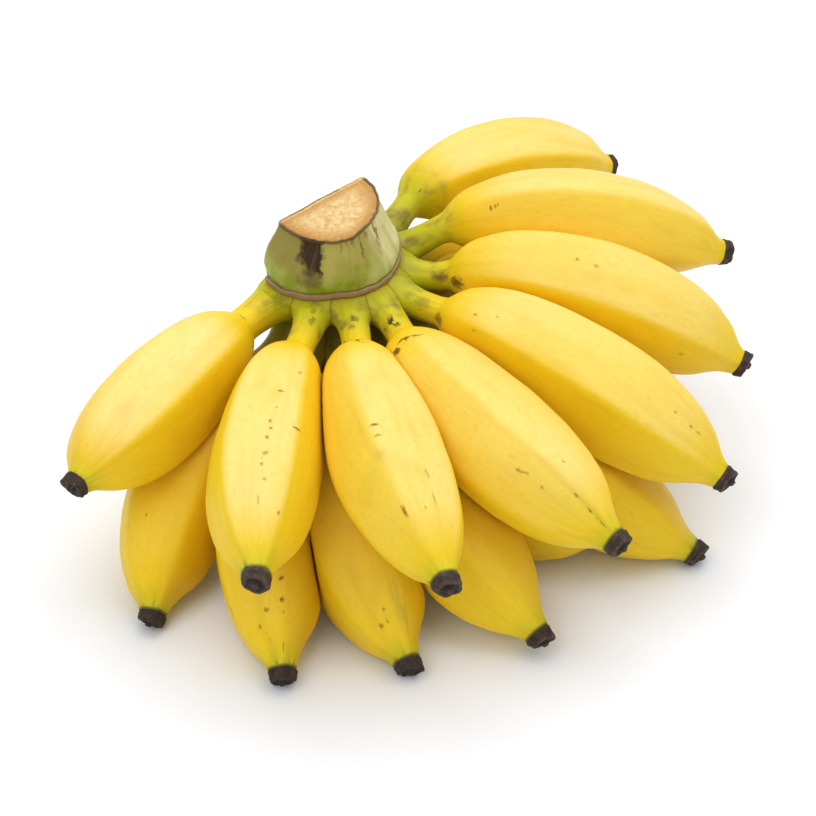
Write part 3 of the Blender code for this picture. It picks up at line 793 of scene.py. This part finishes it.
def skinMaterial(mottle, specks):
    look = skinLook
    material, tree, shader = newMaterial("banana_skin")
    straight, share = attribute(tree, "straight", "Vector"), attribute(tree, "share")
    toCap = attribute(tree, "toCap")
    # the stalk is about four times thinner than the body that the coordinates are made for
    places = {"dust": combineVectors(tree, "MULTIPLY", straight, (0.3, 0.3, 1.0))}
    pattern = {
        name: mottled(tree, mottle, places.get(name, straight), row) for name, row in skinPatterns.items()}
    clouds, wobble = pattern["clouds"], pattern["wobble"]
    colour = tint(tree, look["yellow"], look["pale"], clouds, 0.55)
    colour = tint(tree, colour, look["amber"], pattern["warm"], 0.45)

    # a pale waxy coat with painted sheen on the upper facets, and painted shade in deeper yellow on the
    # lower row's right-facing sides
    body = combine(tree, "MULTIPLY", between(tree, share, 0.2, 0.36), between(tree, share, 0.95, 0.8))
    patchy = addNode(tree, "ShaderNodeMapRange", {"Value": clouds, "To Min": 0.55}).outputs[0]
    waxAndSheen = combine(tree, "MULTIPLY", combine(tree, "MULTIPLY", attribute(tree, "waxAndSheen"), body), patchy)
    colour = tint(tree, colour, look["waxAndSheen"], waxAndSheen, look["waxAndSheenShare"])
    colour = tint(tree, colour, look["shaded"], attribute(tree, "shade"), 0.75)

    # faint lengthwise veins, dull patches and a fine grain
    dull = 0.0
    for name, strength in {"veins": 0.30, "patches": 0.34, "grain": 0.32}.items():
        dull = combine(tree, "MAXIMUM", dull, combine(tree, "MULTIPLY", pattern[name], strength))
    colour = tint(tree, colour, look["dull"], dull)

    # green stalk, olive and dusty at the crown, with painted shade on the stalks of the lower row
    uneven = combine(tree, "MULTIPLY_ADD", wobble, 0.07, -0.035)
    place = combine(tree, "ADD", attribute(tree, "stalkShare"), uneven)
    colour = tint(tree, colour, look["lime"], between(tree, place, *look["greenStalk"]))
    colour = tint(tree, colour, look["olive"], between(tree, place, 0.09, 0.01), 0.6)
    fibres = combine(tree, "MULTIPLY", pattern["fibres"], between(tree, place, 0.19, 0.14))
    colour = tint(tree, colour, look["olive"], fibres, 0.3)
    dust = combine(tree, "MULTIPLY", pattern["dust"], between(tree, place, 0.18, 0.12))
    colour = tint(tree, colour, look["smudge"], dust, 0.6)
    colour = tint(tree, colour, look["paintedStalkShade"], attribute(tree, "paintedStalkShade"), 0.6)

    # green ring and dark streaks before the dried end
    tipPlace = combine(tree, "MULTIPLY_ADD", wobble, 7.0, toCap)
    colour = tint(tree, colour, look["lime"], between(tree, tipPlace, *look["greenEnd"]), 0.75)
    colour = tint(tree, colour, look["olive"], between(tree, tipPlace, 5.5, 1.5), 0.45)
    ridge = combine(tree, "MULTIPLY", attribute(tree, "ridge"), 0.8)
    streaks = combine(tree, "MAXIMUM", pattern["streaks"], ridge)
    dark = combine(tree, "MULTIPLY", streaks, between(tree, tipPlace, 6.0, 2.5))
    dark = combine(tree, "MAXIMUM", dark, between(tree, toCap, 1.2, 0.2))
    colour = tint(tree, colour, look["darkGreen"], dark, 0.85)

    # green streaks, brown marks and painted shade in the stalk-to-fruit creases, their edges ragged; the
    # marks on the stalks are darker
    stain = combine(tree, "MULTIPLY", attribute(tree, "stain"), between(tree, streaks, -0.5, 1.0))
    colour = tint(tree, colour, look["olive"], stain)
    fineness, depth = look["raggedness"]
    shift = raggedShift(tree, straight, fineness, 3.0, (depth, depth, depth))
    reach = lengthOf(tree, combineVectors(tree, "ADD", attribute(tree, "mark", "Vector"), shift))
    mark = combine(tree, "MULTIPLY", between(tree, reach, 1.25, 0.3), attribute(tree, "markStrength"))
    dots = useGroup(tree, specks, Vector=straight, **look["dots"])
    # specks, brown marks and the painted crease shade together
    wearAndCreaseShade = combine(tree, "MAXIMUM", combine(tree, "MULTIPLY", dots, 0.6), mark)
    markTone = tint(tree, look["brown"], look["scabAndCreaseShade"], between(tree, place, 0.30, 0.22))
    colour = tint(tree, colour, markTone, wearAndCreaseShade)
    tree.links.new(colour, shader.inputs["Base Color"])

    height = combine(tree, "ADD", combine(tree, "MULTIPLY", pattern["pores"], 0.35), pattern["lengths"])
    height = combine(tree, "SUBTRACT", height, combine(tree, "MULTIPLY", wearAndCreaseShade, 0.8))
    bumpUp(tree, shader, height, 0.35, 0.00016)
    limits = {"To Min": look["roughness"], "To Max": look["roughness"] + look["roughnessSpread"]}
    gloss = addNode(tree, "ShaderNodeMapRange", {"Value": clouds, **limits})
    tree.links.new(gloss.outputs[0], shader.inputs["Roughness"])
    shader.inputs["Specular IOR Level"].default_value = look["gloss"]
    return material


capLook = {
    "dark": (0.018, 0.010, 0.007),
    "mid": (0.050, 0.028, 0.018),
    "dusty": (0.15, 0.09, 0.06),
    "roughness": 0.8,
    "lumps": (0.0022, 1.0, 0.35, 0.65),
    "grain": (0.0008, 1.0, 0.2, 0.8),
}


def capMaterial(mottle):
    look = capLook
    material, tree, shader = newMaterial("dried_blossom_end")
    # the end is four times thinner than the body that the coordinates are made for
    slim = combineVectors(tree, "MULTIPLY", attribute(tree, "straight", "Vector"), (0.26, 0.26, 1.0))
    colour = tint(tree, look["dark"], look["mid"], mottled(tree, mottle, slim, look["lumps"]))
    edge = addNode(tree, "ShaderNodeNewGeometry").outputs["Pointiness"]
    colour = tint(tree, colour, look["dusty"], between(tree, edge, 0.50, 0.58), 0.7)
    tree.links.new(colour, shader.inputs["Base Color"])
    bumpUp(tree, shader, mottled(tree, mottle, slim, look["grain"]), 0.6, 0.0003)
    shader.inputs["Roughness"].default_value = look["roughness"]
    return material


# stains on the crown: degrees from its front, mm above the ring, width, height, strength
rindStains = (
    (-32, 10, 10, 4, 0.7), (35, 17, 2.5, 3.5, 0.7), (72, 18, 4, 5, 0.8), (66, 13, 3, 4, 0.4),
    (20, 19.5, 4, 1.5, 0.6), (2, 19.5, 3, 1.5, 0.6), (10, 19.8, 2, 1.5, 0.5), (50, 19, 5, 2, 0.6),
    (-70, 3, 20, 1, 0.5), (-90, 10, 8, 9, 0.4),
)
# a dark wedge under the cut: degrees of its left edge, at the bottom and the top, and of its right
bruiseShape = {
    "left": (-36, -55),
    "right": -23,
    "bottom": 11.5,
}
rindLook = {
    "green": (0.29, 0.41, 0.025),
    "khaki": (0.44, 0.36, 0.10),
    "paleGreen": (0.84, 0.84, 0.48),
    "olive": (0.25, 0.21, 0.04),
    "below": (0.30, 0.29, 0.04),
    "scar": (0.42, 0.25, 0.16),
    "scarEdge": (0.10, 0.055, 0.04),
    "bruise": (0.032, 0.014, 0.004),
    "stain": (0.15, 0.10, 0.055),
    "flat": (0.48, 0.34, 0.17),
    "roughness": 0.62,
    "gloss": 0.25,
}
# size in metres, stretch along the stalk, the range of the noise that counts
rindPatterns = {
    "clouds": (0.006, 0.7, 0.35, 0.65),
    "fibres": (0.003, 0.1, 0.5, 0.7),
    "scar": (0.003, 0.6, 0.3, 0.7),
    "grain": (0.0012, 0.4, 0.2, 0.8),
}


def bruiseMask(tree, marked):
    parts = addNode(tree, "ShaderNodeSeparateXYZ", {0: marked}).outputs
    bottom, right = bruiseShape["bottom"], bruiseShape["right"]
    leftLow, leftHigh = bruiseShape["left"]
    limits = {"From Min": bottom, "From Max": crownShape["cutHeight"]}
    limits.update({"To Min": leftLow, "To Max": leftHigh})
    left = addNode(tree, "ShaderNodeMapRange", {"Value": parts["Y"], **limits}).outputs[0]
    fromLeft = between(tree, combine(tree, "SUBTRACT", parts["X"], left), -4.0, 5.0)
    fromRight = between(tree, parts["X"], right + 3.0, right - 3.0)
    fromBottom = between(tree, parts["Y"], bottom - 1.5, bottom + 2.0)
    return combine(tree, "MULTIPLY", combine(tree, "MINIMUM", fromLeft, fromRight), fromBottom)


def rindMaterial(mottle, spot):
    look = rindLook
    material, tree, shader = newMaterial("crown_rind")
    place, panel = attribute(tree, "round", "Vector"), attribute(tree, "panel", "Vector")
    turn, height, wave = addNode(tree, "ShaderNodeSeparateXYZ", {0: panel}).outputs
    pattern = {name: mottled(tree, mottle, place, row) for name, row in rindPatterns.items()}

    # khaki under the cut, olive on the left, pale on the right
    colour = tint(tree, look["green"], look["paleGreen"], pattern["clouds"], 0.42)
    high = between(tree, height, 6.0, 16.0)
    colour = tint(tree, colour, look["khaki"], high, 0.75)
    left = combine(tree, "MULTIPLY", between(tree, turn, -15.0, -45.0), high)
    colour = tint(tree, colour, look["olive"], left, 0.8)
    right = combine(tree, "MULTIPLY", between(tree, turn, 40.0, 75.0), between(tree, height, 0.5, 6.0))
    colour = tint(tree, colour, look["paleGreen"], right, 0.85)
    colour = tint(tree, colour, look["olive"], pattern["fibres"], 0.35)

    # the streaks that run down from the cut, and the dark bruise
    marked = combineVectors(tree, "ADD", panel, raggedShift(tree, place, 330.0, 4.0, (22.0, 5.0, 0.0)))
    stains = 0.0
    for turned, level, wide, tall, strength in rindStains:
        oval = {"Centre": (turned, level, 0), "Size": (wide, tall, 99), "Strength": strength}
        stains = combine(tree, "MAXIMUM", stains, useGroup(tree, spot, Vector=marked, **oval))
    colour = tint(tree, colour, look["stain"], stains)
    bruiseTone = tint(tree, look["bruise"], look["stain"], pattern["fibres"], 0.4)
    colour = tint(tree, colour, bruiseTone, bruiseMask(tree, marked))

    # the stalks' own green below the scar ring, then the ring, the sawn side and the rim of the cut
    below = between(tree, combine(tree, "SUBTRACT", height, wave), -0.5, -1.5)
    colour = tint(tree, colour, look["below"], below)
    colour = tint(tree, colour, look["scarEdge"], attribute(tree, "groove"), 0.8)
    scar = tint(tree, look["scar"], look["scarEdge"], pattern["scar"], 0.3)
    colour = tint(tree, colour, scar, attribute(tree, "band"))
    colour = tint(tree, colour, look["flat"], attribute(tree, "flat"))
    unsawn = combine(tree, "SUBTRACT", 1.0, attribute(tree, "sawn"))
    rim = combine(tree, "MULTIPLY", between(tree, height, 20.3, 20.9), unsawn)
    colour = tint(tree, colour, look["scarEdge"], rim, 0.8)
    tree.links.new(colour, shader.inputs["Base Color"])
    bumpUp(tree, shader, pattern["grain"], 0.5, 0.0003)
    shader.inputs["Roughness"].default_value = look["roughness"]
    shader.inputs["Specular IOR Level"].default_value = look["gloss"]
    return material


fleshLook = {
    "tan": (0.64, 0.35, 0.09),
    "cream": (0.84, 0.63, 0.31),
    "edge": (0.54, 0.27, 0.06),
    "brown": (0.42, 0.22, 0.08),
    "rim": (0.12, 0.06, 0.04),
    "roughness": 0.85,
    "fibre": (0.0018, 1.0, 0.40, 0.60),
    "broad": (0.007, 1.0, 0.35, 0.65),
    "spots": (0.0011, 1.0, 0.60, 0.72),
}


def fleshMaterial(mottle):
    look = fleshLook
    material, tree, shader = newMaterial("cut_flesh")
    place, inset = attribute(tree, "local", "Vector"), attribute(tree, "inset")
    sawn = attribute(tree, "sawn")
    fibre, broad, spots = (mottled(tree, mottle, place, look[key]) for key in ("fibre", "broad", "spots"))
    colour = tint(tree, look["tan"], look["cream"], combine(tree, "MULTIPLY_ADD", fibre, 0.75, 0.1))
    colour = tint(tree, colour, look["cream"], broad, 0.5)
    outer = between(tree, combine(tree, "MULTIPLY_ADD", fibre, 0.12, inset), 0.55, 1.0)
    outer = combine(tree, "MULTIPLY", outer, combine(tree, "SUBTRACT", 1.0, sawn))
    colour = tint(tree, colour, look["edge"], outer)
    colour = tint(tree, colour, look["brown"], spots, 0.55)
    rim = combine(tree, "SUBTRACT", between(tree, inset, 0.93, 0.955), sawn)
    colour = tint(tree, colour, look["rim"], combine(tree, "MAXIMUM", rim, 0.0))
    tree.links.new(colour, shader.inputs["Base Color"])
    bumpUp(tree, shader, fibre, 0.7, 0.0004)
    shader.inputs["Roughness"].default_value = look["roughness"]
    return material


def placePiece(name, mesh, materials, node):
    for material in materials:
        mesh.materials.append(material)
    piece = bpy.data.objects.new(name, mesh)
    bpy.context.scene.collection.objects.link(piece)
    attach(piece, "root")
    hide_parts(node)
    return piece


cameraView = {
    "target": (-3, -11, 35),
    "elevation": 38,
    "distance": 700,
    "lens": 96,
}


def addCamera():
    look = cameraView
    rise = math.radians(look["elevation"])
    back = Vector((0, -math.cos(rise), math.sin(rise)))
    camera = bpy.data.objects.new("camera", bpy.data.cameras.new("camera"))
    camera.data.lens = look["lens"]
    camera.data.clip_start = 0.01
    camera.location = (Vector(look["target"]) + back * look["distance"]) * mm
    camera.rotation_euler = back.to_track_quat("Z", "Y").to_euler()
    bpy.context.scene.collection.objects.link(camera)
    bpy.context.scene.camera = camera


studio = {
    "sky": 0.50,
    "floor": (0.90, 0.925, 0.98),
    # place in metres, size in metres, power in watts
    "lamps": {
        "top": ((0.05, 0.65, 1.6), 2.0, 20),
        "front": ((-0.8, -0.8, 1.4), 1.5, 8.5),
        "right": ((1.1, -0.3, 1.5), 1.5, 6),
    },
}


def addStudio():
    scene = bpy.context.scene
    world = bpy.data.worlds.new("studio")
    world.use_nodes = True
    world.node_tree.nodes["Background"].inputs["Strength"].default_value = studio["sky"]
    world.node_tree.nodes["Background"].inputs["Color"].default_value = (1, 1, 1, 1)
    scene.world = world
    scene.view_settings.view_transform = "Standard"
    for name, (place, size, power) in studio["lamps"].items():
        lamp = bpy.data.lights.new(name, "AREA")
        lamp.shape = "DISK"
        lamp.size, lamp.energy = size, power
        obj = bpy.data.objects.new(name, lamp)
        obj.location = place
        obj.rotation_euler = Vector(place).to_track_quat("Z", "Y").to_euler()
        scene.collection.objects.link(obj)

    bm = bmesh.new()
    bmesh.ops.create_grid(bm, x_segments=1, y_segments=1, size=6)
    mesh = bpy.data.meshes.new("floor")
    bm.to_mesh(mesh)
    bm.free()
    material, tree, shader = newMaterial("pale_floor")
    place = addNode(tree, "ShaderNodeTexCoord").outputs["Object"]
    tone = addNode(tree, "ShaderNodeTexNoise", {"Vector": place, "Scale": 3.0})
    soft = tuple(value * 0.985 for value in studio["floor"])
    colour = tint(tree, studio["floor"], soft, tone.outputs["Fac"])
    tree.links.new(colour, shader.inputs["Base Color"])
    shader.inputs["Roughness"].default_value = 0.9
    shader.inputs["Specular IOR Level"].default_value = 0.1
    mesh.materials.append(material)
    floor = bpy.data.objects.new("floor", mesh)
    scene.collection.objects.link(floor)


addCamera()
addStudio()
print("camera, lamps and floor are up")

mottleGroup, speckGroup, spotGroup = makeMottleGroup(), makeSpeckGroup(), makeSpotGroup()
skin, cap = skinMaterial(mottleGroup, speckGroup), capMaterial(mottleGroup)
rind, flesh = rindMaterial(mottleGroup, spotGroup), fleshMaterial(mottleGroup)
print("materials made")

placePiece("crown_cut", makeCrown(), (rind, flesh), "crown")
print("crown made")

fingers = [layOut(name, values) for name, values in fingerRows.items()]
for finger in fingers:
    family = [other for other in fingers if other is not finger and isNear(other, finger)]
    mesh = makeFinger(finger, family)
    placePiece(finger["name"] + "_fruit", mesh, (skin, cap), finger["name"])
print("fingers made:", len(fingers))
